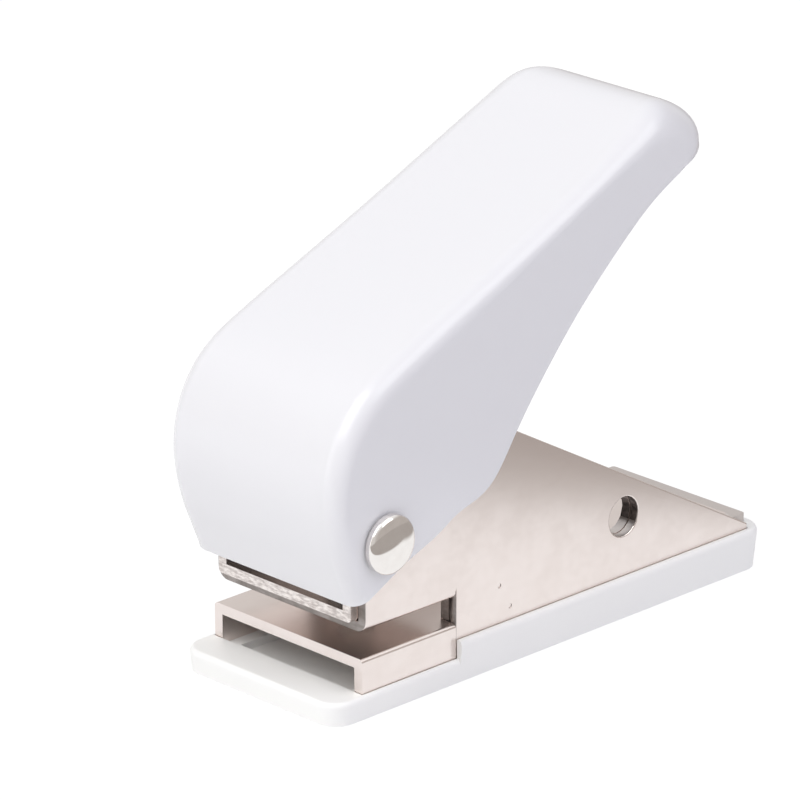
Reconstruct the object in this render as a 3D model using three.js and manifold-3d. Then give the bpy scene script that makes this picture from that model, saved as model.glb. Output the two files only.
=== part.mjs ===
// Dart flight punch, in millimetres, +Z up.
// The origin is the middle of the tray's underside. The throat opens towards -Y,
// and the handle rises from its pivot above the throat towards +Y.
import * as THREE from 'three';
import { mergeVertices } from 'three/addons/utils/BufferGeometryUtils.js';
import Module from 'manifold-3d';

const wasm = await Module();
wasm.setup();

// Frame: two nested steel channels above the throat and a die plate channel below it
const sheet = 1.3;
const frameWidth = 25;
const frameLength = 65.5;
const throatDepth = 15.3;
const throatGap = 2.95;
const dieHeight = 7.22;
const bendRadius = 0.5;
const jawBend = 1.6;
const nestFit = 0.05;
const jawSetback = 0.6;
const guideLead = 0.5;
const tailInset = 1.8;
const tailReach = 1.05;
const tailCorner = 0.4;
const wingTail = 0.62;
const wingTailRound = 0.25;
const crestReach = 9.75;
const crestRise = 14.54;
const crestRound = 4;
const browRise = 5.8;
const earRadius = 4.9;
const cheekDrop = 1.8;
const cheekRim = 1.9;
const crossHole = 5;
const crossHoleInset = 43.5;
const crossHoleHeight = 12.9;
const weldDiameter = 0.6;
const weldDepth = 0.1;
const weldInsets = [22.4, 24.2];
const weldHeights = [10.05, 6.99];

// Tray under the frame
const frontShelf = 5.35;
const rearShelf = 2.78;
const lip = 0.9;
const trayFlare = 0.5;
const trayFit = 0.1;
const trayFloor = 1.2;
const trayCorner = 3.2;
const ledgeHeight = 2.2;
const ledgeReach = 0.45;
const frontRim = 2.95;
const rearRim = 5.28;
const rimRoundWidth = 0.6;
const rimRoundHeight = 0.8;

// Pivot
const pivotInset = 2.2;
const pivotRise = 11.53;
const rivetDiameter = 4.8;
const rivetHead = 7.2;
const rivetRim = 0.6;
const rivetDome = 1.05;
const rivetFit = 0.1;
const headGap = 0.3;
const washerDiameter = 8.4;
const washerThickness = 0.6;
const sideGap = 0.125;
const sleeveDiameter = 6;

// Handle, a bent sheet shell
const handleSheet = 0.9;
const handleLength = 63.4;
const handleHeight = 47.9;
const handleNarrowing = 1.4;
const handleRound = 2.5;
const tailRound = 7.1;
const handleAngle = 25;

// Presser, the bent strip under the handle's roof
const presserReach = 7.6;
const presserRise = 11.8;
const presserWidth = 10;
const presserSheet = 1.2;
const presserRadius = 3;
const presserFlange = 5;
const presserToe = 0.4;
const presserBend = 0.8;
const presserGap = 0.1;
const weldGap = 0.2;

// Punch, its guides and its spring
const punchArm = 8.8;
const punchDiameter = 4;
const punchFit = 0.15;
const punchTip = 0.33;
const punchHollow = 0.5;
const headDiameter = 7.2;
const headThickness = 1.5;
const headRound = 0.3;
const stopGap = 0.15;
const bridgeLength = 10.2;
const bridgeWall = 3.5;
const washerPlate = 0.5;
const springWasherDiameter = 8;
const clipThickness = 0.6;
const clipDiameter = 7.4;
const clipGroove = 0.5;
const clipPlay = 0.1;
const clipMouth = 2.4;
const springDiameter = 7;
const springWire = 0.65;
const springCoils = 5.5;
const springPlay = 0.05;

// Fineness
const overrun = 1;
const samePoint = 0.001;
const arcStep = Math.PI / 12;
const roundSides = 24;

// Levels and stations that follow from the sizes
const trayLength = frontShelf + frameLength + rearShelf;
const frameFront = frontShelf - trayLength / 2;
const frameBack = frameFront + frameLength;
const throatBack = frameFront + throatDepth;
const halfFrame = frameWidth / 2;
const halfNest = halfFrame - sheet - nestFit;
const halfInside = halfNest - sheet;
const halfTray = halfFrame + trayFit + lip;
const jawHeight = dieHeight + throatGap;
const nestHeight = jawHeight + sheet + nestFit;
const guideHeight = nestHeight + sheet;
const pivotY = frameFront + pivotInset;
const pivotZ = jawHeight + pivotRise;
const punchY = pivotY + punchArm;
const crossHoleY = frameFront + crossHoleInset;
const handleHalf = halfFrame + 2 * sideGap + washerThickness + handleSheet;
const handleSwing = THREE.MathUtils.degToRad(handleAngle);
const travel = presserReach * Math.sin(handleSwing) + presserRise * (1 - Math.cos(handleSwing));
const presserY = pivotY + presserReach;
const presserZ = pivotZ + presserRise;
const headTop = presserZ - presserRadius - presserGap;
const headBottom = headTop - headThickness;
const bridgeTop = headBottom - travel - stopGap;
const bridgeBottom = bridgeTop - sheet;
const clipTop = bridgeBottom - clipPlay;
const clipBottom = clipTop - clipThickness;
const springFoot = guideHeight + washerPlate + springPlay;
const springHead = clipBottom - springPlay;
const tipHeight = jawHeight + punchTip;

// Outline helpers: corners are [u, v, fillet radius]
function arc(centre, radius, from, sweep) {
  const steps = Math.max(2, Math.ceil(Math.abs(sweep) / arcStep));
  const points = [];
  for (let k = 0; k <= steps; k += 1) {
    const angle = from + sweep * k / steps;
    points.push(new THREE.Vector2(centre.x + radius * Math.cos(angle), centre.y + radius * Math.sin(angle)));
  }
  return points;
}

function fillet(before, corner, after, radius) {
  const back = before.clone().sub(corner).normalize();
  const ahead = after.clone().sub(corner).normalize();
  const half = Math.acos(THREE.MathUtils.clamp(back.dot(ahead), -1, 1)) / 2;
  const middle = back.clone().add(ahead).normalize();
  const centre = corner.clone().addScaledVector(middle, radius / Math.sin(half));
  const start = corner.clone().addScaledVector(back, radius / Math.tan(half)).sub(centre);
  const turn = Math.PI - 2 * half;
  const sign = Math.sign(ahead.cross(back)) || 1;
  return arc(centre, radius, Math.atan2(start.y, start.x), sign * turn);
}

function outline(corners, closed = true) {
  const points = corners.map(([u, v]) => new THREE.Vector2(u, v));
  const count = points.length;
  const line = corners.flatMap(([, , radius = 0], k) => {
    const end = !closed && (k === 0 || k === count - 1);
    if (radius === 0 || end) return [points[k]];
    return fillet(points[(k + count - 1) % count], points[k], points[(k + 1) % count], radius);
  });
  return line.filter((point, k) => k === 0 || point.distanceTo(line[k - 1]) > samePoint);
}

// A strip of sheet along an open bent line
function strip(corners, thickness) {
  const line = outline(corners, false);
  const side = (sign) => line.map((point, k) => {
    const before = line[Math.max(0, k - 1)];
    const after = line[Math.min(line.length - 1, k + 1)];
    const incoming = point.clone().sub(before).normalize();
    const outgoing = after.clone().sub(point).normalize();
    const along = incoming.add(outgoing).normalize();
    const offset = sign * thickness / 2;
    return new THREE.Vector2(point.x - offset * along.y, point.y + offset * along.x);
  });
  return [...side(1), ...side(-1).reverse()];
}

function circle(u, v, diameter) {
  const sweep = 2 * Math.PI * (1 - 1 / roundSides);
  return arc(new THREE.Vector2(u, v), diameter / 2, 0, sweep).slice(0, roundSides);
}

// Solid helpers
function solid(geometry) {
  geometry.deleteAttribute('normal');
  geometry.deleteAttribute('uv');
  const merged = mergeVertices(geometry);
  return new wasm.Manifold(new wasm.Mesh({
    numProp: 3,
    vertProperties: new Float32Array(merged.attributes.position.array),
    triVerts: new Uint32Array(merged.index.array),
  }));
}

const axisX = new THREE.Vector3(1, 0, 0);
const axisY = new THREE.Vector3(0, 1, 0);
const axisZ = new THREE.Vector3(0, 0, 1);
const frames = {
  x: new THREE.Matrix4().makeBasis(axisY, axisZ, axisX),
  y: new THREE.Matrix4().makeBasis(axisX, axisZ, axisY.clone().negate()),
  z: new THREE.Matrix4(),
};

// A prism of an outline in the plane across the named axis, from one station to another
function prism(axis, points, from, to) {
  const shape = new THREE.Shape(points);
  const geometry = new THREE.ExtrudeGeometry(shape, { depth: to - from, bevelEnabled: false, steps: 1 });
  geometry.translate(0, 0, axis === 'y' ? -to : from);
  geometry.applyMatrix4(frames[axis]);
  return solid(geometry);
}

function box(fromX, toX, fromY, toY, fromZ, toZ) {
  const plan = outline([[fromX, fromY], [toX, fromY], [toX, toY], [fromX, toY]]);
  return prism('z', plan, fromZ, toZ);
}

function pin(axis, u, v, diameter, from, to) {
  return prism(axis, circle(u, v, diameter), from, to);
}

function turned(profile, sides = roundSides) {
  const points = profile.map(([radius, height]) => new THREE.Vector2(radius, height));
  const geometry = new THREE.LatheGeometry(points, sides);
  geometry.rotateX(Math.PI / 2);
  return solid(geometry);
}

function both(make) {
  const near = make();
  return near.add(near.mirror([1, 0, 0]));
}

function mesh(name, body, colour, roughness, metalness) {
  const data = body.getMesh();
  const geometry = new THREE.BufferGeometry();
  geometry.setAttribute('position', new THREE.BufferAttribute(data.vertProperties, data.numProp));
  geometry.setIndex(new THREE.BufferAttribute(data.triVerts, 1));
  const material = new THREE.MeshStandardMaterial({ color: colour, roughness, metalness });
  const made = new THREE.Mesh(geometry, material);
  made.name = name;
  return made;
}

// A bent channel section: a web at one level and two walls that run to another
function channel(half, web, edge, from, to, thickness = sheet, bend = bendRadius) {
  const inward = Math.sign(edge - web);
  const inner = web + inward * thickness;
  const innerHalf = half - thickness;
  const innerBend = Math.max(bend - thickness, 0);
  const section = outline([
    [-half, edge], [-half, web, bend], [half, web, bend], [half, edge],
    [innerHalf, edge], [innerHalf, inner, innerBend], [-innerHalf, inner, innerBend], [-innerHalf, edge],
  ]);
  return prism('y', section, from, to);
}

// Tray: a lip round the frame's foot, a ledge that carries it and a well for the chads.
// Its walls lean out from the foot to the rim.
function trayPlan(level, round = 0) {
  const inset = trayFlare * (1 - level / rearRim) + round;
  const x = halfTray - inset;
  const y = trayLength / 2 - inset;
  const corner = trayCorner - inset;
  const plan = outline([[-x, -y, corner], [x, -y, corner], [x, y, corner], [-x, y, corner]]);
  return plan.map((point) => [point.x, point.y, level]);
}

function trayBlock(height) {
  const steps = 4;
  const rings = [trayPlan(0)];
  for (let k = 0; k <= steps; k += 1) {
    const angle = Math.PI / 2 * k / steps;
    const level = height - rimRoundHeight * (1 - Math.sin(angle));
    rings.push(trayPlan(level, rimRoundWidth * (1 - Math.cos(angle))));
  }
  return stack(rings);
}

// A closed solid through rings of as many points each, with a flat cap at both ends
function stack(rings) {
  const count = rings[0].length;
  const positions = rings.flat(2);
  const index = [];
  for (let ring = 0; ring < rings.length - 1; ring += 1) {
    for (let k = 0; k < count; k += 1) {
      const next = (k + 1) % count;
      const low = ring * count;
      const high = low + count;
      index.push(low + k, low + next, high + next, low + k, high + next, high + k);
    }
  }
  const last = (rings.length - 1) * count;
  for (let k = 1; k < count - 1; k += 1) {
    index.push(0, k + 1, k, last, last + k, last + k + 1);
  }
  const geometry = new THREE.BufferGeometry();
  geometry.setAttribute('position', new THREE.Float32BufferAttribute(positions, 3));
  geometry.setIndex(index);
  return solid(geometry);
}

function makeTray() {
  const reach = trayLength + overrun;
  const top = rearRim + overrun;
  const rearHalf = box(-reach, reach, throatBack, reach, -overrun, top);
  const body = trayBlock(frontRim).add(trayBlock(rearRim).intersect(rearHalf));
  const fit = halfFrame + trayFit;
  const seat = box(-fit, fit, frameFront - trayFit, frameBack + trayFit, ledgeHeight, top);
  const half = halfInside - ledgeReach;
  const well = box(-half, half, frameFront + sheet, frameBack - sheet, trayFloor, top);
  return body.subtract(seat).subtract(well);
}

// Die plate: full width under the jaw, nested between the wings behind it.
// At the tail its web steps down to a tab over the tray's rear rim.
function makeLowerFrame() {
  const split = throatBack - nestFit;
  const flangeEnd = frameBack - tailInset;
  const front = channel(halfFrame, dieHeight, ledgeHeight, frameFront, split);
  const rear = channel(halfNest, dieHeight, ledgeHeight, split - sheet, flangeEnd);
  const tabFoot = rearRim + nestFit;
  const tabEnd = frameBack + tailReach;
  const tab = prism('z', outline([
    [-halfNest, flangeEnd - sheet], [halfNest, flangeEnd - sheet],
    [halfNest, tabEnd, tailCorner], [-halfNest, tabEnd, tailCorner],
  ]), tabFoot, tabFoot + sheet);
  const die = pin('z', 0, punchY, punchDiameter + 2 * punchFit, ledgeHeight, jawHeight);
  return front.add(rear).add(tab).subtract(die);
}

const topSlope = (crestRise + pivotZ - rearRim - wingTail) / (pivotY + crestReach - frameBack);

function sideHoles(half) {
  const pivot = pin('x', pivotY, pivotZ, rivetDiameter + 2 * rivetFit, -half, half);
  const cross = pin('x', crossHoleY, crossHoleHeight, crossHole, -half, half);
  return pivot.add(cross);
}

function welds() {
  const spots = weldInsets.map((inset, k) => (
    pin('x', frameFront + inset, weldHeights[k], weldDiameter, halfFrame - weldDepth, halfFrame + overrun)
  ));
  return spots[0].add(spots[1]);
}

// Outer channel: its web is the jaw's underside, its walls are the wings
function makeUpperFrame() {
  const front = frameFront + jawSetback;
  const bendTop = jawHeight + jawBend;
  const wing = prism('x', outline([
    [front, bendTop], [throatBack, bendTop], [throatBack, ledgeHeight],
    [frameBack, ledgeHeight, wingTailRound],
    [frameBack, rearRim + wingTail, wingTailRound],
    [pivotY + crestReach, pivotZ + crestRise, crestRound],
    [front, pivotZ + browRise],
  ]), halfFrame - sheet, halfFrame);
  const ear = pin('x', pivotY, pivotZ, 2 * earRadius, halfFrame - sheet, halfFrame);
  const walls = both(() => wing.add(ear).subtract(welds()));
  const jaw = channel(halfFrame, jawHeight, bendTop + sheet, front, throatBack, sheet, jawBend);
  const guide = pin('z', 0, punchY, punchDiameter + 2 * punchFit, dieHeight, pivotZ);
  return walls.add(jaw).subtract(guide).subtract(sideHoles(halfFrame + overrun));
}

// Inner channel: it guides the punch and doubles the wings as far as the cross hole
function makeGuideChannel() {
  const bendTop = nestHeight + bendRadius;
  const crestY = pivotY + crestReach;
  const crestZ = pivotZ + crestRise - cheekDrop;
  const back = crossHoleY + crossHole / 2 + cheekRim;
  const backTop = crestZ + topSlope * (back - crestY);
  const front = frameFront - guideLead;
  const wallFront = throatBack + nestFit;
  const foot = dieHeight + nestFit;
  const wall = prism('x', outline([
    [front, bendTop], [wallFront, bendTop], [wallFront, foot], [back, foot],
    [back, backTop, cheekRim], [crestY, crestZ, crestRound], [front, pivotZ + browRise - cheekDrop],
  ]), halfInside, halfNest);
  const ear = pin('x', pivotY, pivotZ, 2 * earRadius, halfInside, halfNest);
  const walls = both(() => wall.add(ear));
  const web = channel(halfNest, nestHeight, bendTop + sheet, front, wallFront);
  const guide = pin('z', 0, punchY, punchDiameter + 2 * punchFit, dieHeight, pivotZ);
  return walls.add(web).subtract(guide).subtract(sideHoles(halfFrame + overrun));
}

// Bridge: the punch's upper guide, which also stops its clip on the way up and its head on the way down
function makeGuideBridge() {
  const half = halfInside - nestFit;
  const from = punchY - bridgeLength / 2;
  const plate = channel(half, bridgeBottom, bridgeTop + bridgeWall, from, from + bridgeLength);
  const guide = pin('z', 0, punchY, punchDiameter + 2 * punchFit, guideHeight, headTop);
  return plate.subtract(guide);
}

function ring(axis, u, v, outer, inner, from, to) {
  const disc = pin(axis, u, v, outer, from, to);
  return disc.subtract(pin(axis, u, v, inner, from - overrun, to + overrun));
}

function makePivotWasher(side) {
  const near = halfFrame + sideGap;
  const bore = rivetDiameter + 2 * rivetFit;
  const from = side > 0 ? near : -near - washerThickness;
  return ring('x', pivotY, pivotZ, washerDiameter, bore, from, from + washerThickness);
}

function makePivotSleeve() {
  const half = halfInside - nestFit;
  return ring('x', pivotY, pivotZ, sleeveDiameter, rivetDiameter + 2 * rivetFit, -half, half);
}

// Handle: stations along the roof line, each joined to a point of the side walls' lower edge.
// Points are [along, up] from the pivot, as shares of the handle's length and height.
const roofShares = [
  [-0.065, -0.152], [-0.089, -0.071], [-0.109, 0.002], [-0.124, 0.111], [-0.12, 0.198],
  [-0.101, 0.275], [-0.067, 0.341], [-0.023, 0.39], [0.04, 0.433], [0.168, 0.507], [0.405, 0.641],
  [0.557, 0.733], [0.673, 0.81], [0.753, 0.862], [0.839, 0.825], [0.89, 0.779], [0.901, 0.735],
];
const edgeShares = [
  [-0.034, -0.127], [0.011, -0.098], [0.045, -0.076], [0.08, -0.058], [0.11, -0.044], [0.137, -0.029],
  [0.158, -0.015], [0.176, -0.002], [0.2, 0.01], [0.274, 0.042], [0.355, 0.186], [0.493, 0.395],
  [0.633, 0.559], [0.71, 0.634], [0.776, 0.679], [0.784, 0.684], [0.788, 0.691],
];
const tailShare = 0.66;
const arcDepthShare = 0.95;
const handleStations = 44;
const handleArcSteps = 5;

function handleCurve(shares) {
  const points = shares.map(([along, up]) => (
    new THREE.Vector3(0, pivotY + along * handleLength, pivotZ + up * handleHeight)
  ));
  return new THREE.CatmullRomCurve3(points, false, 'centripetal');
}

const roofCurve = handleCurve(roofShares);
const edgeCurve = handleCurve(edgeShares);

function handleHalfAt(y) {
  return handleHalf - handleNarrowing * (y - pivotY) / handleLength;
}

// One side of the wall at a station, from the lower edge over the roof to the other lower edge
function handleSection(share, depth) {
  const crown = roofCurve.getPoint(share);
  const tangent = roofCurve.getTangent(share);
  crown.addScaledVector(new THREE.Vector3(0, tangent.z, -tangent.y), depth);
  const low = edgeCurve.getPoint(share);
  const rib = low.clone().sub(crown);
  const growth = THREE.MathUtils.smoothstep(share, tailShare, 1);
  const round = THREE.MathUtils.lerp(handleRound, tailRound, growth) - depth;
  const fall = Math.min(round, arcDepthShare * rib.length());
  rib.normalize();
  const points = [low.clone().setX(handleHalfAt(low.y) - depth)];
  for (let k = 0; k <= handleArcSteps; k += 1) {
    const angle = Math.PI / 2 * k / handleArcSteps;
    const point = crown.clone().addScaledVector(rib, fall * (1 - Math.sin(angle)));
    points.push(point.setX(handleHalfAt(point.y) - depth - round * (1 - Math.cos(angle))));
  }
  const mirrored = points.map((point) => new THREE.Vector3(-point.x, point.y, point.z)).reverse();
  return [...points, ...mirrored];
}

function makeHandle() {
  const rings = [];
  for (let k = 0; k <= handleStations; k += 1) {
    const share = k / handleStations;
    const outside = handleSection(share, 0);
    const inside = handleSection(share, handleSheet).reverse();
    rings.push([...outside, ...inside]);
  }
  const count = rings[0].length;
  const index = [];
  const quad = (a, b, c, d) => index.push(a, c, b, a, d, c);
  for (let ring = 0; ring < handleStations; ring += 1) {
    for (let k = 0; k < count; k += 1) {
      const next = (k + 1) % count;
      const low = ring * count;
      quad(low + k, low + next, low + count + next, low + count + k);
    }
  }
  const last = handleStations * count;
  for (let k = 0; k < count / 2 - 1; k += 1) {
    const far = count - 1 - k;
    quad(k + 1, k, far, far - 1);
    quad(last + k, last + k + 1, last + far - 1, last + far);
  }
  const geometry = new THREE.BufferGeometry();
  const positions = rings.flat().flatMap((point) => point.toArray());
  geometry.setAttribute('position', new THREE.Float32BufferAttribute(positions, 3));
  geometry.setIndex(index);
  const reach = handleHalf + overrun;
  const bore = pin('x', pivotY, pivotZ, rivetDiameter + 2 * rivetFit, -reach, reach);
  return solid(geometry).subtract(bore);
}

// The roof's straight run, which the presser's flanges follow
const roofFoot = roofCurve.points[8];
const roofTop = roofCurve.points[10];
const roofSlope = (roofTop.z - roofFoot.z) / (roofTop.y - roofFoot.y);

function presserLine(y) {
  const depth = (handleSheet + weldGap + presserSheet / 2) * Math.hypot(1, roofSlope);
  return roofFoot.z + roofSlope * (y - roofFoot.y) - depth;
}

function makePresser() {
  const half = presserRadius - presserSheet / 2;
  const front = presserY - half;
  const back = presserY + half;
  const bottom = presserZ - half;
  const bend = presserBend + presserSheet / 2;
  const lean = Math.atan(roofSlope);
  const bendReach = (turn) => bend * Math.tan(turn / 2) * Math.cos(lean);
  const toe = front - presserToe - bendReach(Math.PI / 2 + lean);
  const heel = back + presserFlange + bendReach(Math.PI / 2 - lean);
  const points = strip([
    [toe, presserLine(toe)], [front, presserLine(front), bend],
    [front, bottom, half], [back, bottom, half],
    [back, presserLine(back), bend], [heel, presserLine(heel)],
  ], presserSheet);
  return prism('x', points, -presserWidth / 2, presserWidth / 2);
}

function makeRivet() {
  const shank = rivetDiameter / 2;
  const head = rivetHead / 2;
  const seat = handleHalfAt(pivotY) + headGap;
  const dome = [];
  const steps = 6;
  for (let k = 0; k <= steps; k += 1) {
    const angle = Math.PI / 2 * k / steps;
    dome.push([head * Math.cos(angle), seat + rivetRim + rivetDome * Math.sin(angle)]);
  }
  dome[steps][0] = 0;
  const upper = [[shank, seat], [head, seat], ...dome];
  const lower = upper.map(([radius, height]) => [radius, -height]).reverse();
  const profile = [...lower, ...upper];
  const rivet = turned(profile);
  return rivet.rotate([0, 90, 0]).translate([0, pivotY, pivotZ]);
}

function makePunch() {
  const radius = punchDiameter / 2;
  const groove = radius - clipGroove;
  const head = headDiameter / 2;
  const floor = clipBottom - clipPlay / 2;
  const ceiling = clipTop + clipPlay / 2;
  return turned([
    [0, tipHeight + punchHollow], [radius, tipHeight], [radius, floor], [groove, floor],
    [groove, ceiling], [radius, ceiling], [radius, headBottom], [head, headBottom],
    [head, headTop - headRound], [head - headRound, headTop], [0, headTop],
  ]).translate([0, punchY, 0]);
}

// Clip: an open ring that snaps into the punch's groove
function makeClip() {
  const bore = punchDiameter - 2 * clipGroove + 2 * clipPlay;
  const body = ring('z', 0, punchY, clipDiameter, bore, clipBottom, clipTop);
  const mouth = clipMouth / 2;
  const back = punchY + clipDiameter;
  return body.subtract(box(-mouth, mouth, punchY, back, clipBottom - overrun, clipTop + overrun));
}

function makeSpringWasher() {
  const bore = punchDiameter + 2 * punchFit;
  return ring('z', 0, punchY, springWasherDiameter, bore, guideHeight, guideHeight + washerPlate);
}

// Return spring: one wire in a helix between the washer and the clip
function springPoint(turn) {
  const radius = (springDiameter - springWire) / 2;
  const low = springFoot + springWire / 2;
  const rise = springHead - springFoot - springWire;
  const angle = 2 * Math.PI * turn;
  return new THREE.Vector3(
    radius * Math.cos(angle), punchY + radius * Math.sin(angle), low + rise * turn / springCoils,
  );
}

function makeSpring() {
  const stepsPerCoil = 8;
  const wireSides = 5;
  const steps = springCoils * stepsPerCoil;
  const rings = [];
  for (let k = 0; k <= steps; k += 1) {
    const centre = springPoint(k / stepsPerCoil);
    const outward = new THREE.Vector3(centre.x, centre.y - punchY, 0).normalize();
    const section = [];
    for (let side = 0; side < wireSides; side += 1) {
      const angle = 2 * Math.PI * side / wireSides;
      const point = centre.clone().addScaledVector(outward, springWire / 2 * Math.cos(angle));
      point.z += springWire / 2 * Math.sin(angle);
      section.push(point.toArray());
    }
    rings.push(section.reverse());
  }
  return stack(rings);
}

// The least gap between the wire and itself, measured on points a third of a coil or more apart
function springGap() {
  const stepsPerCoil = 24;
  const points = [];
  for (let k = 0; k <= springCoils * stepsPerCoil; k += 1) points.push(springPoint(k / stepsPerCoil));
  let least = Infinity;
  points.forEach((point, k) => {
    for (let m = k + stepsPerCoil / 3; m < points.length; m += 1) {
      least = Math.min(least, point.distanceTo(points[m]));
    }
  });
  return least - springWire;
}

console.log(`spring's least gap to itself: ${springGap().toFixed(2)} mm`);

const white = '#f4f4f6';
const trayWhite = '#eef0f1';
const nickel = '#d8d0c8';
const steel = '#b9b5ae';

const part = new THREE.Group();
part.add(mesh('base_tray', makeTray(), trayWhite, 0.45, 0));
part.add(mesh('lower_frame', makeLowerFrame(), nickel, 0.35, 1));
part.add(mesh('upper_frame', makeUpperFrame(), nickel, 0.32, 1));
part.add(mesh('guide_channel', makeGuideChannel(), nickel, 0.35, 1));
part.add(mesh('guide_bridge', makeGuideBridge(), nickel, 0.35, 1));
part.add(mesh('pivot_rivet', makeRivet(), nickel, 0.12, 1));
part.add(mesh('pivot_sleeve', makePivotSleeve(), steel, 0.35, 1));
part.add(mesh('pivot_washer_near', makePivotWasher(1), steel, 0.35, 1));
part.add(mesh('pivot_washer_far', makePivotWasher(-1), steel, 0.35, 1));
part.add(mesh('punch_pin', makePunch(), steel, 0.22, 1));
part.add(mesh('retaining_clip', makeClip(), steel, 0.4, 1));
part.add(mesh('spring_washer', makeSpringWasher(), steel, 0.35, 1));
part.add(mesh('return_spring', makeSpring(), steel, 0.3, 1));
part.add(mesh('handle_shell', makeHandle(), white, 0.2, 0));
part.add(mesh('presser_bracket', makePresser(), nickel, 0.35, 1));

export default part;
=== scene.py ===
import math

import bmesh
import bpy
from mathutils import Matrix, Vector


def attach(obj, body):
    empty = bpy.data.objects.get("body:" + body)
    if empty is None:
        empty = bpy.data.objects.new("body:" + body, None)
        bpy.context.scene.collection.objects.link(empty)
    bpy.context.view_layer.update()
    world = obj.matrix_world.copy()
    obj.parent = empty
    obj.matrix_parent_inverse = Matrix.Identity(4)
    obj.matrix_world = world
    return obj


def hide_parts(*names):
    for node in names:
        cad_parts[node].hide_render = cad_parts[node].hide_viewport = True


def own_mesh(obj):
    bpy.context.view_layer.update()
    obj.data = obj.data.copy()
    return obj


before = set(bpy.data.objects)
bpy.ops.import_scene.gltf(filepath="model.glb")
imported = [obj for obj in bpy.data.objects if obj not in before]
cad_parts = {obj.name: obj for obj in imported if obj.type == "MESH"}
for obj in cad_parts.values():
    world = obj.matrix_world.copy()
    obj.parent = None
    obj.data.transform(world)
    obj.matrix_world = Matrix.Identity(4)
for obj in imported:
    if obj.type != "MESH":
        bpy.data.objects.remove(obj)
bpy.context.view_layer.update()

MM = 0.001

# Frame sizes in millimetres, as in the solids
SHEET = 1.3
HALF_FRAME = 12.5
JAW_HEIGHT = 10.17
THROAT_BACK = -16.165
NEST_FIT = 0.05
RIM_HEIGHT = 5.28
WELDS = [(-9.065, 10.05), (-7.265, 6.99)]
CROSS_HOLE = 5.0
CROSS_HOLE_Y = 12.035
CROSS_HOLE_Z = 12.9

# Pivot and rivet
PIVOT_Y = -29.265
PIVOT_Z = 21.7
BORE = 5.0
RIVET_HEAD = 7.2
RIVET_RIM = 0.6
RIVET_DOME = 1.05
RIVET_SHANK = 4.8
RIVET_EDGE = 0.1
RIVET_SEAT_EDGE = 0.08
HEAD_GAP = 0.3

# Handle
HANDLE_SHEET = 0.9
HANDLE_LENGTH = 63.4
HANDLE_HEIGHT = 47.9
HANDLE_HALF = 14.25
HANDLE_NARROWING = 1.4
HANDLE_ROUND = 2.5
TAIL_ROUND = 7.1
TAIL_SHARE = 0.66
ARC_DEPTH_SHARE = 0.95

# Spring
PUNCH_Y = -20.465
SPRING_FOOT = 13.37
SPRING_HEAD = 22.38
SPRING_DIAMETER = 7.0
SPRING_WIRE = 0.65
SPRING_COILS = 5.5

# The handle's side view from the pivot, in shares of its length and height
ROOF_SHARES = [
    (-0.065, -0.152), (-0.089, -0.071), (-0.109, 0.002), (-0.124, 0.111), (-0.12, 0.198),
    (-0.101, 0.275), (-0.067, 0.341), (-0.023, 0.39), (0.04, 0.433), (0.168, 0.507), (0.405, 0.641),
    (0.557, 0.733), (0.673, 0.81), (0.753, 0.862), (0.839, 0.825), (0.89, 0.779), (0.901, 0.735),
]
EDGE_SHARES = [
    (-0.034, -0.127), (0.011, -0.098), (0.045, -0.076), (0.08, -0.058), (0.11, -0.044), (0.137, -0.029),
    (0.158, -0.015), (0.176, -0.002), (0.2, 0.01), (0.274, 0.042), (0.355, 0.186), (0.493, 0.395),
    (0.633, 0.559), (0.71, 0.634), (0.776, 0.679), (0.784, 0.684), (0.788, 0.691),
]

# How finely the pieces made here are divided
HANDLE_STATIONS = 220
HANDLE_ARC_STEPS = 14
HANDLE_WALL_STEPS = 8
SMOOTH_PASSES = 24
BORE_SEGMENTS = 64
RIVET_SEGMENTS = 96
DOME_STEPS = 24
COIL_STEPS = 36
WIRE_SIDES = 12

# Widths of the rounds on the pieces' edges, and how far each weld dimple's own round reaches
OUTER_ROUND = 0.18
INNER_ROUND = 0.12
STRIP_ROUND = 0.1
TRAY_ROUND = 0.08
STEEL_ROUND = 0.08
PIN_ROUND = 0.06
HANDLE_EDGE_ROUND = 0.28
WELD_ROUND = 0.03
WELD_REACH = 0.45

# How far the bore's tool reaches past the handle
BORE_OVERRUN = 1

# Angles in degrees over which an edge counts as sharp
SHARP = 40
HANDLE_SHARP = 50
HANDLE_CREASE = 60
TURNED_CREASE = 50


# Materials

# The noise lies mostly between these two values
NOISE_LOW = 0.3
NOISE_HIGH = 0.7

# A mix node's sockets for the factor and the two colours, and for the mixed colour
MIX_INPUTS = (0, 6, 7)
MIX_OUTPUT = 2


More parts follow.
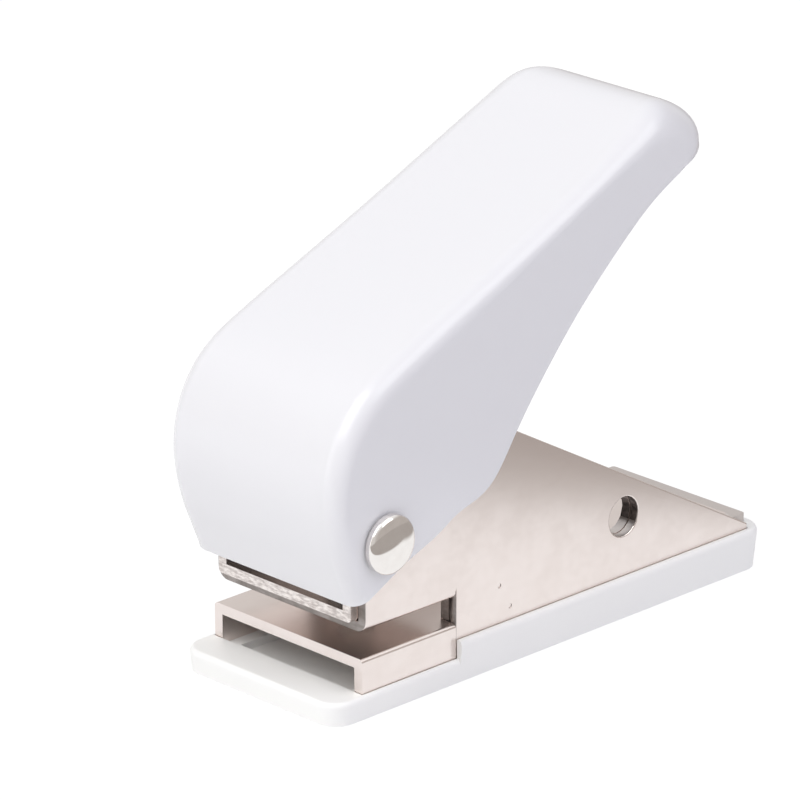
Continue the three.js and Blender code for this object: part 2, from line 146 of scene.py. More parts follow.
class Nodes:
    """A material's node tree, with short calls for the nodes used here."""

    def __init__(self, name):
        self.material = bpy.data.materials.new(name)
        self.material.use_nodes = True
        self.tree = self.material.node_tree
        self.shader = self.tree.nodes["Principled BSDF"]
        self.place = self.tree.nodes.new("ShaderNodeTexCoord").outputs["Object"]

    def link(self, source, target):
        self.tree.links.new(source, target)

    def noise(self, scale, detail=3.0, rough=0.55, stretch=(1, 1, 1)):
        mapping = self.tree.nodes.new("ShaderNodeMapping")
        mapping.inputs["Scale"].default_value = stretch
        self.link(self.place, mapping.inputs["Vector"])
        node = self.tree.nodes.new("ShaderNodeTexNoise")
        node.inputs["Scale"].default_value = scale
        node.inputs["Detail"].default_value = detail
        node.inputs["Roughness"].default_value = rough
        self.link(mapping.outputs["Vector"], node.inputs["Vector"])
        return node.outputs["Fac"]

    def spread(self, value, start=0, end=1, low=NOISE_LOW, high=NOISE_HIGH):
        """Goes smoothly from start to end while the value goes from low to high."""
        node = self.tree.nodes.new("ShaderNodeMapRange")
        node.interpolation_type = "SMOOTHSTEP"
        node.inputs["From Min"].default_value = low
        node.inputs["From Max"].default_value = high
        node.inputs["To Min"].default_value = start
        node.inputs["To Max"].default_value = end
        self.link(value, node.inputs["Value"])
        return node.outputs["Result"]

    def times(self, value, factor):
        node = self.tree.nodes.new("ShaderNodeMath")
        node.operation = "MULTIPLY"
        node.inputs[1].default_value = factor
        self.link(value, node.inputs[0])
        return node.outputs["Value"]

    def plus(self, first, second):
        node = self.tree.nodes.new("ShaderNodeMath")
        node.operation = "ADD"
        self.link(first, node.inputs[0])
        self.link(second, node.inputs[1])
        return node.outputs["Value"]

    def colour(self, share, dark, light):
        node = self.tree.nodes.new("ShaderNodeMix")
        node.data_type = "RGBA"
        factor, first, second = (node.inputs[k] for k in MIX_INPUTS)
        self.link(share, factor)
        first.default_value = (*dark, 1)
        second.default_value = (*light, 1)
        self.link(node.outputs[MIX_OUTPUT], self.shader.inputs["Base Color"])

    def roughness(self, value):
        self.link(value, self.shader.inputs["Roughness"])

    def bump(self, height, strength, depth):
        node = self.tree.nodes.new("ShaderNodeBump")
        node.inputs["Strength"].default_value = strength
        node.inputs["Distance"].default_value = depth * MM
        self.link(height, node.inputs["Height"])
        self.link(node.outputs["Normal"], self.shader.inputs["Normal"])

    def coat(self, weight, roughness):
        self.shader.inputs["Coat Weight"].default_value = weight
        self.shader.inputs["Coat Roughness"].default_value = roughness

    def metal(self):
        self.shader.inputs["Metallic"].default_value = 1.0


def paint():
    """Gloss white powder coat: a faint orange peel and almost no change of colour."""
    n = Nodes("handle_paint")
    n.colour(n.noise(scale=30, detail=2), dark=(0.752, 0.752, 0.77), light=(0.766, 0.766, 0.784))
    n.roughness(n.spread(n.noise(scale=700), start=0.22, end=0.27))
    n.bump(n.noise(scale=900, detail=2), strength=0.05, depth=0.03)
    n.coat(weight=0.3, roughness=0.08)
    return n.material


def plastic():
    """Satin white plastic with a fine moulded grain."""
    n = Nodes("tray_plastic")
    n.colour(n.noise(scale=60, detail=2), dark=(0.898, 0.9, 0.88), light=(0.91, 0.912, 0.892))
    n.roughness(n.spread(n.noise(scale=900, detail=4), start=0.34, end=0.42))
    n.bump(n.noise(scale=2400), strength=0.1, depth=0.03)
    return n.material


def nickel(name, dark, light, glossy, dull):
    """Nickel on rolled sheet: a fine grain along Y and small clouds, glossier where lighter."""
    n = Nodes(name)
    mottle = n.spread(n.noise(scale=900, detail=5, rough=0.6, stretch=(1, 0.7, 1)))
    cloud = n.spread(n.noise(scale=150))
    grain = n.noise(scale=3200, detail=2, rough=0.5, stretch=(1, 0.1, 1))
    both = n.plus(n.times(mottle, factor=0.35), n.times(cloud, factor=0.65))
    n.colour(both, dark, light)
    haze = n.spread(both, start=dull, end=glossy, low=0.2, high=0.8)
    n.roughness(n.plus(haze, n.times(grain, factor=0.05)))
    n.bump(n.plus(n.times(grain, factor=0.6), mottle), strength=0.035, depth=0.012)
    n.metal()
    return n.material


def cut_edge(name, dark, light, depth, grain):
    """The sheared edge of the sheet, scored through its thickness and blotched along X."""
    n = Nodes(name)
    score = n.noise(scale=1800, rough=0.6, stretch=(1, 1, 0.25))
    blotch = n.noise(scale=grain, detail=4, rough=0.7, stretch=(0.3, 1, 1))
    n.colour(n.spread(blotch, low=0.35, high=0.65), dark, light)
    n.roughness(n.spread(score, start=0.35, end=0.6))
    n.bump(score, strength=0.35, depth=depth)
    n.metal()
    return n.material


def polish():
    """The rivet's polished nickel, with a slight haze."""
    n = Nodes("rivet_polish")
    haze = n.spread(n.noise(scale=500))
    n.colour(haze, dark=(0.82, 0.79, 0.765), light=(0.86, 0.835, 0.81))
    n.roughness(n.spread(haze, start=0.04, end=0.09, low=0, high=1))
    n.bump(n.noise(scale=900, detail=2), strength=0.04, depth=0.02)
    n.metal()
    return n.material


def tool_steel():
    """Ground steel of the small parts inside, with rings along Z."""
    n = Nodes("tool_steel")
    ring = n.noise(scale=2400, detail=2, rough=0.5, stretch=(1, 1, 0.1))
    n.colour(n.spread(n.noise(scale=300, detail=4)), dark=(0.52, 0.51, 0.49), light=(0.66, 0.65, 0.63))
    n.roughness(n.spread(ring, start=0.24, end=0.4))
    n.bump(ring, strength=0.1, depth=0.02)
    n.metal()
    return n.material


PAINT = paint()
PLASTIC = plastic()
NICKEL = nickel(
    "nickel", dark=(0.805, 0.729, 0.696), light=(0.845, 0.774, 0.745), glossy=0.2, dull=0.23,
)
# A darker copy of the nickel: painted shade for the inner faces of the channels, the web between the wings
# and the bottom of the cross hole.
SHADED_NICKEL = nickel(
    "nickel_inside_painted_shade", dark=(0.62, 0.575, 0.555), light=(0.66, 0.615, 0.595), glossy=0.3, dull=0.36,
)
CUT_EDGE = cut_edge(
    "nickel_cut_edge", dark=(0.26, 0.235, 0.22), light=(0.38, 0.345, 0.33), depth=0.03, grain=900,
)
TOP_EDGE = cut_edge(
    "nickel_top_edge", dark=(0.2, 0.18, 0.17), light=(0.28, 0.255, 0.24), depth=0.03, grain=900,
)
TORN_EDGE = cut_edge(
    "nickel_torn_edge", dark=(0.56, 0.51, 0.49), light=(0.9, 0.85, 0.82), depth=0.06, grain=2600,
)
# Painted shade on the cross hole's wall, where it is seen from the throat.
HOLE_SHADE = cut_edge(
    "nickel_hole_painted_shade", dark=(0.12, 0.105, 0.1), light=(0.24, 0.21, 0.2), depth=0.05, grain=1500,
)
POLISH = polish()
STEEL = tool_steel()


# Mesh helpers

# Vertices closer than this are one, and faces that meet at a smaller angle are one flat face
MERGE_REACH = 0.002
FLAT_ANGLE = 0.6
# A place this close to a plane is on it
ON_PLANE = 0.1
CUT_REACH = 0.0001
# The X part of a flat side face's normal is above this
FLAT_SIDE = 0.999


def add_object(name, mesh, material, body, *nodes, slot):
    obj = bpy.data.objects.new(name, mesh)
    bpy.context.scene.collection.objects.link(obj)
    mesh.materials.clear()
    mesh.materials.append(material)
    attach(obj, body)
    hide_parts(*nodes)
    return obj


def closed_mesh(name, vertices, faces):
    """A closed mesh of vertices in millimetres, with its faces turned outwards."""
    mesh = bpy.data.meshes.new(name)
    mesh.from_pydata([tuple(c * MM for c in vertex) for vertex in vertices], [], faces)
    work = bmesh.new()
    work.from_mesh(mesh)
    bmesh.ops.recalc_face_normals(work, faces=work.faces)
    work.to_mesh(mesh)
    work.free()
    return mesh


def shade_smooth(mesh, crease):
    mesh.polygons.foreach_set("use_smooth", [True] * len(mesh.polygons))
    mesh.set_sharp_from_angle(angle=math.radians(crease))


def apply_modifiers(obj):
    graph = bpy.context.evaluated_depsgraph_get()
    final = bpy.data.meshes.new_from_object(obj.evaluated_get(graph))
    obj.modifiers.clear()
    obj.data = final


def near_spot(place, spots):
    return any((Vector((place.y, place.z)) - Vector(spot) * MM).length < WELD_REACH * MM for spot in spots)


def frame_spots(work, spots):
    """Cuts a small square around each spot out of the flat face, so that its rim shades only that."""
    for part, normal in ((0, (0, 1, 0)), (1, (0, 0, 1))):
        for spot in spots:
            for side in (-1, 1):
                flat = [
                    face for face in work.faces
                    if abs(face.normal.x) > FLAT_SIDE and any(near_spot(v.co, spots) for v in face.verts)
                ]
                edges = dict.fromkeys(edge for face in flat for edge in face.edges)
                corners = dict.fromkeys(vert for face in flat for vert in face.verts)
                bmesh.ops.bisect_plane(
                    work, geom=flat + list(edges) + list(corners), dist=CUT_REACH * MM,
                    plane_co=Vector(normal) * (spot[part] + side * WELD_REACH) * MM, plane_no=normal,
                )


def weigh_sharp_edges(mesh, angle, spots):
    """Marks the sharp edges for rounding, but not the throat's back. Spots (y, z) get a finer round."""

    def middle(edge):
        return (edge.verts[0].co + edge.verts[1].co) / 2

    def sharp(edge):
        return len(edge.link_faces) == 2 and edge.calc_face_angle(0) > math.radians(angle)

    work = bmesh.new()
    work.from_mesh(mesh)
    work.normal_update()
    frame_spots(work, spots)
    fine = [edge for edge in work.edges if near_spot(middle(edge), spots) and sharp(edge)]
    bmesh.ops.bevel(
        work, geom=fine, offset=WELD_ROUND * MM, offset_type="OFFSET", segments=2, profile=0.5,
        affect="EDGES", clamp_overlap=True,
    )
    weight = work.edges.layers.float.new("bevel_weight_edge")
    for edge in work.edges:
        at_throat = abs(middle(edge).y - THROAT_BACK * MM) <= ON_PLANE * MM
        plain = not near_spot(middle(edge), spots) and not at_throat
        edge[weight] = 1.0 if plain and sharp(edge) else 0.0
    work.to_mesh(mesh)
    work.free()


def round_edges(obj, width, angle=SHARP, segments=2, crease=SHARP, spots=()):
    """Rounds the sharp edges. Where there are spots, the edges are picked one by one."""
    bevel = obj.modifiers.new("round", "BEVEL")
    bevel.width = width * MM
    bevel.segments = segments
    bevel.limit_method = "WEIGHT" if spots else "ANGLE"
    bevel.angle_limit = math.radians(angle)
    bevel.use_clamp_overlap = not spots
    if spots:
        weigh_sharp_edges(obj.data, angle, spots)
    apply_modifiers(obj)
    shade_smooth(obj.data, crease)
    weighted = obj.modifiers.new("flat faces", "WEIGHTED_NORMAL")
    weighted.keep_sharp = True


def cad_copy(node):
    """A clean copy of a CAD node's mesh, with its flat faces merged."""
    work = bmesh.new()
    work.from_mesh(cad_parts[node].data)
    bmesh.ops.remove_doubles(work, verts=work.verts, dist=MERGE_REACH * MM)
    bmesh.ops.dissolve_limit(
        work, angle_limit=math.radians(FLAT_ANGLE), verts=work.verts, edges=work.edges,
    )
    mesh = bpy.data.meshes.new(node + "_piece")
    work.to_mesh(mesh)
    work.free()
    return mesh


def dressed(node, material, body, slot, width, spots=()):
    obj = add_object(node + "_piece", cad_copy(node), material, body, node, slot=slot)
    round_edges(obj, width, spots=spots)
    return obj


# Sheared faces of the frame

# Parts of a face's normal: sideways is along X, endways along Y and upwards along Z
SIDEWAYS = 0.93
ACROSS = 0.35
ENDWAYS = 0.7
SLIGHTLY_FORWARDS = 0.2
UPWARDS = 0.5
SLIGHTLY_UPWARDS = 0.2
# The cross hole's wall lies within this of its circle
HOLE_REACH = 0.08
# A face of the sheet's thickness lies more than this outside its inner face
WALL_REACH = 0.02
# A top edge of the wings lies more than this above the jaw, or behind the middle
TOP_RISE = 2


def hole_finish(normal):
    """Painted light and shade in the cross hole: its lit bottom gets the darker nickel, its wall seen from
    the throat the darkest painted shade, and the rest the cut edge.
    """
    if normal.z > UPWARDS:
        return "inside"
    return "hole" if normal.y < -SLIGHTLY_FORWARDS else "cut"


def sheared_finish(normal, centre, half):
    """The finish of a face of a bent channel, or nothing for its plain outer faces."""
    hole = Vector((CROSS_HOLE_Y, CROSS_HOLE_Z)) * MM
    from_hole = (Vector((centre.y, centre.z)) - hole).length
    if from_hole < (CROSS_HOLE / 2 + HOLE_REACH) * MM and abs(normal.x) < ACROSS:
        return hole_finish(normal)
    in_wall = abs(centre.x) > (half - SHEET + WALL_REACH) * MM and abs(normal.x) < SIDEWAYS
    high = centre.z > (JAW_HEIGHT + TOP_RISE) * MM or centre.y > 0
    if from_hole > CROSS_HOLE * MM and in_wall and high and normal.z > SLIGHTLY_UPWARDS:
        return "top"
    if normal.y > ENDWAYS:
        return "cut"
    if normal.y < -ENDWAYS:
        return "front" if centre.y < PIVOT_Y * MM else "cut"
    # Inner faces of the walls get the darker nickel, a painted shade.
    return "inside" if centre.x * normal.x < 0 and abs(normal.x) > SIDEWAYS else None


def mark_cut_edges(obj, half, front):
    """Gives the sheared faces their own finish, and paints shade: the darker nickel on the inside of a
    bent channel and on the cross hole's bottom, and the darkest shade on the hole's wall.
    """
    finishes = {"cut": CUT_EDGE, "front": front, "inside": SHADED_NICKEL, "hole": HOLE_SHADE, "top": TOP_EDGE}
    for material in finishes.values():
        obj.data.materials.append(material)
    index = {name: place + 1 for place, name in enumerate(finishes)}
    for face in obj.data.polygons:
        finish = sheared_finish(face.normal, face.center, half)
        if finish:
            face.material_index = index[finish]


def mark_web(obj):
    """Gives the web between the wings and its tab over the rim the darker nickel, a painted shade."""
    obj.data.materials.append(SHADED_NICKEL)
    for face in obj.data.polygons:
        if face.center.y > 0 and face.center.z > RIM_HEIGHT * MM:
            face.material_index = 1


# Handle

def catmull_point(points, share):
    """A point on a centripetal Catmull-Rom curve through the points."""
    place = (len(points) - 1) * share
    step = min(int(place), len(points) - 2)
    w = place - step
    p1, p2 = points[step], points[step + 1]
    p0 = points[step - 1] if step > 0 else p1 * 2 - p2
    p3 = points[step + 2] if step + 2 < len(points) else p2 * 2 - p1
    d0, d1, d2 = ((b - a).length ** 0.5 for a, b in ((p0, p1), (p1, p2), (p2, p3)))
    t1 = ((p1 - p0) / d0 - (p2 - p0) / (d0 + d1) + (p2 - p1) / d1) * d1
    t2 = ((p2 - p1) / d1 - (p3 - p1) / (d1 + d2) + (p3 - p2) / d2) * d1
    return (
        p1 * (2 * w ** 3 - 3 * w ** 2 + 1) + p2 * (3 * w ** 2 - 2 * w ** 3)
        + t1 * (w ** 3 - 2 * w ** 2 + w) + t2 * (w ** 3 - w ** 2)
    )


def smooth_line(points):
    """The line with its small waves taken out and its ends kept."""
    for _ in range(SMOOTH_PASSES):
        points = [points[0]] + [
            (points[k - 1] + points[k] * 2 + points[k + 1]) / 4 for k in range(1, len(points) - 1)
        ] + [points[-1]]
    return points


def handle_line(shares):
    """A line of the handle's side view as (y, z) points, one for each station."""
    points = [Vector((PIVOT_Y + a * HANDLE_LENGTH, PIVOT_Z + u * HANDLE_HEIGHT)) for a, u in shares]
    return smooth_line([catmull_point(points, k / HANDLE_STATIONS) for k in range(HANDLE_STATIONS + 1)])


def handle_half(y):
    return HANDLE_HALF - HANDLE_NARROWING * (y - PIVOT_Y) / HANDLE_LENGTH


def handle_section(roof, edge, k, depth):
    """The handle's cross section at a station, a depth inside its outer face."""
    tangent = (roof[min(k + 1, HANDLE_STATIONS)] - roof[max(k - 1, 0)]).normalized()
    crown = roof[k] + Vector((tangent.y, -tangent.x)) * depth
    rib = edge[k] - crown
    share = min(1, max(0, (k / HANDLE_STATIONS - TAIL_SHARE) / (1 - TAIL_SHARE)))
    growth = share * share * (3 - 2 * share)
    radius = HANDLE_ROUND + (TAIL_ROUND - HANDLE_ROUND) * growth - depth
    fall = min(radius, ARC_DEPTH_SHARE * rib.length)
    along = rib.normalized()
    start = crown + along * fall
    points = []
    for m in range(HANDLE_WALL_STEPS):
        p = edge[k].lerp(start, m / HANDLE_WALL_STEPS)
        points.append((handle_half(p.x) - depth, p.x, p.y))
    for m in range(HANDLE_ARC_STEPS + 1):
        angle = math.pi / 2 * m / HANDLE_ARC_STEPS
        p = crown + along * fall * (1 - math.sin(angle))
        points.append((handle_half(p.x) - depth - radius * (1 - math.cos(angle)), p.x, p.y))
    return points + [(-x, y, z) for x, y, z in reversed(points)]


def handle_mesh():
    """A shell of cross sections, each a closed ring of the outer and the inner face."""
    roof, edge = handle_line(ROOF_SHARES), handle_line(EDGE_SHARES)
    rings = [
        handle_section(roof, edge, k, 0) + handle_section(roof, edge, k, HANDLE_SHEET)[::-1]
        for k in range(HANDLE_STATIONS + 1)
    ]
    count = len(rings[0])
    faces = []
    for ring in range(HANDLE_STATIONS):
        for k in range(count):
            a, b = ring * count + k, ring * count + (k + 1) % count
            faces.append((a, a + count, b + count, b))
    last = HANDLE_STATIONS * count
    for k in range(count // 2 - 1):
        far = count - 1 - k
        faces.append((k, k + 1, far - 1, far))
        faces.append((last + k + 1, last + k, last + far, last + far - 1))
    return closed_mesh("handle_piece", [point for ring in rings for point in ring], faces)


def bore_tool(diameter, half):
    work = bmesh.new()
    turn = Matrix.Translation((0, PIVOT_Y * MM, PIVOT_Z * MM)) @ Matrix.Rotation(math.pi / 2, 4, "Y")
    bmesh.ops.create_cone(
        work, cap_ends=True, segments=BORE_SEGMENTS, radius1=diameter / 2 * MM,
        radius2=diameter / 2 * MM, depth=2 * half * MM, matrix=turn,
    )
    mesh = bpy.data.meshes.new("bore")
    work.to_mesh(mesh)
    work.free()
    obj = bpy.data.objects.new("bore", mesh)
    bpy.context.scene.collection.objects.link(obj)
    return obj


def cut(obj, tool):
    boolean = obj.modifiers.new("cut", "BOOLEAN")
    boolean.operation = "DIFFERENCE"
    boolean.solver = "EXACT"
    boolean.object = tool
    apply_modifiers(obj)
    bpy.data.objects.remove(tool)


def make_handle():
    handle = add_object(
        "handle_piece", handle_mesh(), PAINT, "handle", "handle_shell", slot="handle_paint",
    )
    cut(handle, bore_tool(BORE, HANDLE_HALF + BORE_OVERRUN))
    round_edges(handle, HANDLE_EDGE_ROUND, angle=HANDLE_SHARP, segments=3, crease=HANDLE_CREASE)


# Rivet

def lathe(name, profile, segments):
    """A closed turned mesh about X through the pivot. Profile points are (radius, x)."""
    vertices, faces, rows = [], [], []
    for radius, x in profile:
        turns = segments if radius else 1
        rows.append(list(range(len(vertices), len(vertices) + turns)))
        for k in range(turns):
            a = 2 * math.pi * k / segments
            vertices.append((x, PIVOT_Y + radius * math.cos(a), PIVOT_Z + radius * math.sin(a)))
    for low, high in zip(rows, rows[1:]):
        for k in range(segments):
            n = (k + 1) % segments
            corners = [low[k % len(low)], low[n % len(low)], high[n % len(high)], high[k % len(high)]]
            faces.append(tuple(dict.fromkeys(corners)))
    return closed_mesh(name, vertices, faces)


def rivet_profile():
    head = RIVET_HEAD / 2
    seat = handle_half(PIVOT_Y) + HEAD_GAP
    upper = [
        (RIVET_SHANK / 2, seat), (head - RIVET_EDGE, seat), (head, seat + RIVET_SEAT_EDGE),
        (head, seat + RIVET_RIM),
    ]
    for k in range(1, DOME_STEPS + 1):
        a = math.pi / 2 * k / DOME_STEPS
        radius = head * math.cos(a) if k < DOME_STEPS else 0
        upper.append((radius, seat + RIVET_RIM + RIVET_DOME * math.sin(a)))
    lower = [(radius, -x) for radius, x in reversed(upper)]
    return lower + upper


def make_rivet():
    rivet = add_object(
        "pivot_rivet_piece", lathe("pivot_rivet_piece", rivet_profile(), RIVET_SEGMENTS), POLISH,
        "frame", "pivot_rivet", slot="rivet_polish",
    )
    shade_smooth(rivet.data, TURNED_CREASE)


# Spring

def spring_mesh():
    steps = int(SPRING_COILS * COIL_STEPS)
    radius = (SPRING_DIAMETER - SPRING_WIRE) / 2
    wire = SPRING_WIRE / 2
    rise = SPRING_HEAD - SPRING_FOOT - SPRING_WIRE
    vertices, faces = [], []
    for k in range(steps + 1):
        a = 2 * math.pi * k / COIL_STEPS
        z = SPRING_FOOT + wire + rise * k / COIL_STEPS / SPRING_COILS
        for s in range(WIRE_SIDES):
            b = 2 * math.pi * s / WIRE_SIDES
            r = radius + wire * math.cos(b)
            vertices.append((r * math.cos(a), PUNCH_Y + r * math.sin(a), z + wire * math.sin(b)))
    for k in range(steps):
        low, high = k * WIRE_SIDES, (k + 1) * WIRE_SIDES
        for s in range(WIRE_SIDES):
            n = (s + 1) % WIRE_SIDES
            faces.append((low + s, low + n, high + n, high + s))
    faces.append(tuple(reversed(range(WIRE_SIDES))))
    faces.append(tuple(range(steps * WIRE_SIDES, (steps + 1) * WIRE_SIDES)))
    mesh = closed_mesh("return_spring_piece", vertices, faces)
    shade_smooth(mesh, TURNED_CREASE)
    return mesh


def make_spring():
    spring = add_object(
        "return_spring_piece", spring_mesh(), STEEL, "frame", "return_spring", slot="tool_steel",
    )
    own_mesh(spring)


# Sheet parts, tray and small parts

def make_sheet_parts():
    upper = dressed("upper_frame", NICKEL, "frame", "nickel", OUTER_ROUND, spots=WELDS)
    mark_cut_edges(upper, HALF_FRAME, CUT_EDGE)
    guide = dressed("guide_channel", NICKEL, "frame", "nickel", INNER_ROUND)
    mark_cut_edges(guide, HALF_FRAME - SHEET - NEST_FIT, TORN_EDGE)
    lower = dressed("lower_frame", NICKEL, "frame", "nickel", INNER_ROUND)
    mark_web(lower)


def make_small_parts():
    dressed("base_tray", PLASTIC, "tray", "tray_plastic", TRAY_ROUND)
    dressed("guide_bridge", NICKEL, "frame", "nickel", STRIP_ROUND)
    dressed("presser_bracket", NICKEL, "handle", "nickel", STRIP_ROUND)
    for node in ("pivot_sleeve", "pivot_washer_near", "pivot_washer_far", "spring_washer"):
        dressed(node, STEEL, "frame", "tool_steel", STEEL_ROUND)
    for node in ("punch_pin", "retaining_clip"):
        dressed(node, STEEL, "punch", "tool_steel", PIN_ROUND)


make_handle()
make_rivet()
make_spring()
make_sheet_parts()
make_small_parts()


# Stage and light

WHITE = (1, 1, 1)
KEY_LIGHT = (1, 0.985, 0.965)
WALL_LIGHT = (1.0, 0.96, 0.93)
DIM_LIGHT = (1.0, 0.92, 0.87)
NEUTRAL = (0.95, 0.95, 0.97)
LILAC = (0.87, 0.85, 1.0)

# Strengths, where 1 is white
ROOM_STRENGTH = 0.62
WALL_STRENGTH = 0.72
DIM_ROOM_STRENGTH = 0.53
DIM_TABLE_STRENGTH = 0.45
TABLE_STRENGTH = 0.9

# Greys of the table that the camera sees, under its own glow, and of the one that lights the object
SHOWN_GREY = 0.14
LIT_GREY = 0.85

# Half the table's side, and where its white ends in reflections, in metres
TABLE_HALF = 3
TABLE_END = (0.057, 0.062)
TABLE_CORNER_WAY = (0.6, 0.8, 0)
TABLE_CORNER = (0.044, 0.066)

# Ways in which the room changes, with the parts of a direction between which it does
LILAC_WAY = (1, 0.3, -0.1)
LILAC_RANGE = (-0.1, 0.7)
DIM_WAY = (0.75, 0.65, 0.15)
DIM_RANGE = (0.3, 0.75)
CEILING_WAY = (0, 0, 1)
CEILING_RANGE = (0.35, 0.7)

LAMP_TARGET = (0, 0, 0.03)


class Stage:
    """The node tree of the table or the world, with short calls for the nodes used here."""

    def __init__(self, tree, kind):
        self.tree = tree
        self.tree.nodes.clear()
        self.out = tree.nodes.new(kind)
        self.path = tree.nodes.new("ShaderNodeLightPath")

    def link(self, source, target):
        self.tree.links.new(source, target)

    def toward(self, place, direction, span):
        """Rises from 0 to 1 over a span as the place moves along a direction."""
        dot = self.tree.nodes.new("ShaderNodeVectorMath")
        dot.operation = "DOT_PRODUCT"
        dot.inputs[1].default_value = Vector(direction).normalized()
        self.link(place, dot.inputs[0])
        rise = self.tree.nodes.new("ShaderNodeMapRange")
        rise.interpolation_type = "SMOOTHSTEP"
        rise.inputs["From Min"].default_value = span[0]
        rise.inputs["From Max"].default_value = span[1]
        self.link(dot.outputs["Value"], rise.inputs["Value"])
        return rise.outputs["Result"]

    def larger(self, first, second):
        node = self.tree.nodes.new("ShaderNodeMath")
        node.operation = "MAXIMUM"
        self.link(first, node.inputs[0])
        self.link(second, node.inputs[1])
        return node.outputs[0]

    def glow(self, kind, colour, strength):
        node = self.tree.nodes.new(kind)
        node.inputs["Color"].default_value = (*colour, 1)
        node.inputs["Strength"].default_value = strength
        return node.outputs[0]

    def diffuse(self, grey):
        node = self.tree.nodes.new("ShaderNodeBsdfDiffuse")
        node.inputs["Color"].default_value = (grey, grey, grey, 1)
        return node.outputs[0]

    def add(self, first, second):
        node = self.tree.nodes.new("ShaderNodeAddShader")
        self.link(first, node.inputs[0])
        self.link(second, node.inputs[1])
        return node.outputs[0]

    def mix(self, factor, first, second):
        node = self.tree.nodes.new("ShaderNodeMixShader")
        self.link(factor, node.inputs[0])
        self.link(first, node.inputs[1])
        self.link(second, node.inputs[2])
        return node.outputs[0]


def table_material():
    """White. In reflections its white ends beside the object, where a dimmer table goes on."""
    material = bpy.data.materials.new("floor_white")
    material.use_nodes = True
    stage = Stage(material.node_tree, "ShaderNodeOutputMaterial")
    place = stage.tree.nodes.new("ShaderNodeTexCoord").outputs["Object"]
    kind = "ShaderNodeEmission"
    white = stage.add(stage.diffuse(SHOWN_GREY), stage.glow(kind, WHITE, TABLE_STRENGTH))
    far = stage.larger(
        stage.toward(place, (1, 0, 0), TABLE_END), stage.toward(place, TABLE_CORNER_WAY, TABLE_CORNER),
    )
    gloss = stage.mix(far, white, stage.glow(kind, DIM_LIGHT, DIM_TABLE_STRENGTH))
    shown = stage.mix(stage.path.outputs["Is Glossy Ray"], stage.diffuse(LIT_GREY), gloss)
    seen = stage.larger(stage.path.outputs["Is Camera Ray"], stage.path.outputs["Is Transmission Ray"])
    stage.link(stage.mix(seen, shown, white), stage.out.inputs["Surface"])
    return material


def make_floor():
    mesh = bpy.data.meshes.new("floor")
    corners = [(x * TABLE_HALF, y * TABLE_HALF, 0) for x, y in ((-1, -1), (1, -1), (1, 1), (-1, 1))]
    mesh.from_pydata(corners, [], [(0, 1, 2, 3)])
    mesh.materials.append(table_material())
    floor = bpy.data.objects.new("floor", mesh)
    bpy.context.scene.collection.objects.link(floor)


def make_world():
    """White behind the object. In reflections a white ceiling over a room that is dim on the right."""
    world = bpy.data.worlds.new("studio")
    bpy.context.scene.world = world
    world.use_nodes = True
    stage = Stage(world.node_tree, "ShaderNodeOutputWorld")
    place = stage.tree.nodes.new("ShaderNodeTexCoord").outputs["Generated"]
    kind = "ShaderNodeBackground"
    white = stage.glow(kind, WHITE, 1)
    room = stage.mix(
        stage.toward(place, LILAC_WAY, LILAC_RANGE), stage.glow(kind, NEUTRAL, ROOM_STRENGTH),
        stage.glow(kind, LILAC, ROOM_STRENGTH),
    )
    reflected = stage.mix(
        stage.toward(place, DIM_WAY, DIM_RANGE), stage.glow(kind, WALL_LIGHT, WALL_STRENGTH),
        stage.glow(kind, DIM_LIGHT, DIM_ROOM_STRENGTH),
    )
    reflected = stage.mix(stage.toward(place, CEILING_WAY, CEILING_RANGE), reflected, white)
    shown = stage.mix(stage.path.outputs["Is Glossy Ray"], room, reflected)
    shown = stage.mix(stage.path.outputs["Is Transmission Ray"], shown, white)
    shown = stage.mix(stage.path.outputs["Is Camera Ray"], shown, white)
    stage.link(shown, stage.out.inputs["Surface"])


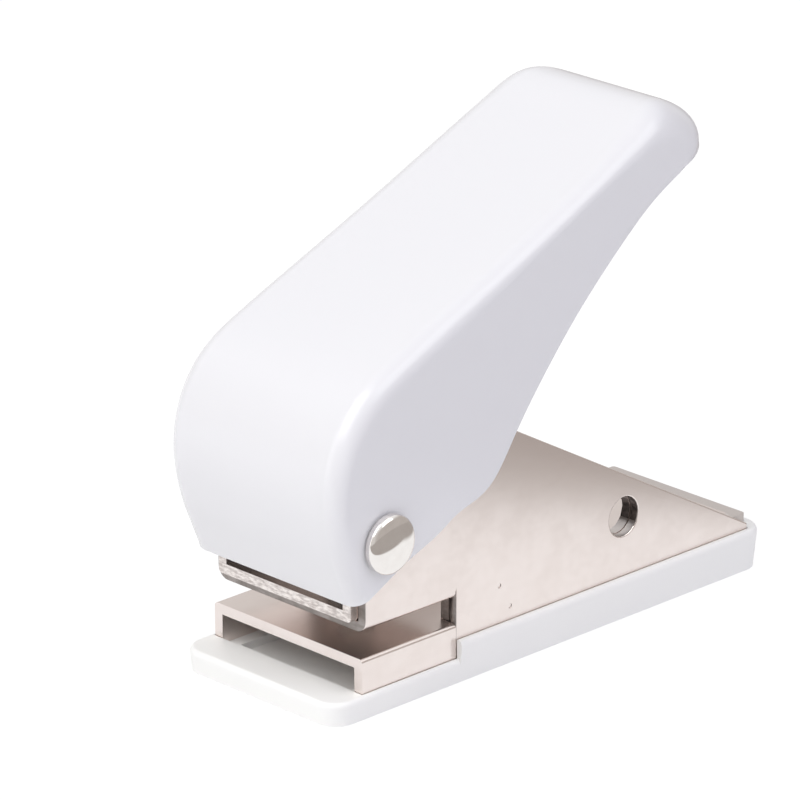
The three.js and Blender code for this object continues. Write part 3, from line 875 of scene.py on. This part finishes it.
def area_lamp(name, place, size, watts, colour=WHITE):
    light = bpy.data.lights.new(name, "AREA")
    light.shape = "SQUARE"
    light.size = size
    light.energy = watts
    light.color = colour
    lamp = bpy.data.objects.new(name, light)
    lamp.location = place
    aim = (Vector(LAMP_TARGET) - Vector(place)).to_track_quat("-Z", "Y")
    lamp.rotation_euler = aim.to_euler()
    bpy.context.scene.collection.objects.link(lamp)


# Camera

# Degrees, and the distance in millimetres
AZIMUTH = 45.7347
ELEVATION = 20.4953
ROLL = -0.1265
DISTANCE = 702.1077
# Steps of the camera in its own picture plane, from a place on the ground
SIDE_STEP = -7.0138
RISE = 26.6874
FIT_ORIGIN_Y = -3.38
# The focal length is given in pixels of a picture this wide
FOCAL_PIXELS = 5851.5904
IMAGE_PIXELS = 800
SENSOR = 36
# What the camera sees lies between these distances in metres
CLIP_START = 0.01
CLIP_END = 20


def make_camera():
    azimuth, elevation, roll = (math.radians(angle) for angle in (AZIMUTH, ELEVATION, ROLL))
    back = Vector((
        math.sin(azimuth) * math.cos(elevation), -math.cos(azimuth) * math.cos(elevation),
        math.sin(elevation),
    ))
    right = Vector((math.cos(azimuth), math.sin(azimuth), 0))
    up = back.cross(right)
    turned_right = right * math.cos(roll) + up * math.sin(roll)
    turned_up = up * math.cos(roll) - right * math.sin(roll)
    data = bpy.data.cameras.new("camera")
    data.sensor_width = SENSOR
    data.lens = FOCAL_PIXELS / IMAGE_PIXELS * SENSOR
    data.clip_start = CLIP_START
    data.clip_end = CLIP_END
    camera = bpy.data.objects.new("camera", data)
    matrix = Matrix((turned_right, turned_up, back)).transposed().to_4x4()
    steps = turned_right * SIDE_STEP + turned_up * RISE + back * DISTANCE
    matrix.translation = (steps + Vector((0, FIT_ORIGIN_Y, 0))) * MM
    camera.matrix_world = matrix
    bpy.context.scene.collection.objects.link(camera)
    bpy.context.scene.camera = camera


make_floor()
make_world()
area_lamp("key", place=(0.05, -0.36, 0.52), size=0.5, watts=2.05, colour=KEY_LIGHT)
area_lamp("side", place=(0.40, 0.16, 0.48), size=0.4, watts=0.68)
area_lamp("fill", place=(-0.22, -0.62, 0.2), size=0.4, watts=0.45)
make_camera()
bpy.context.scene.view_settings.view_transform = "Standard"
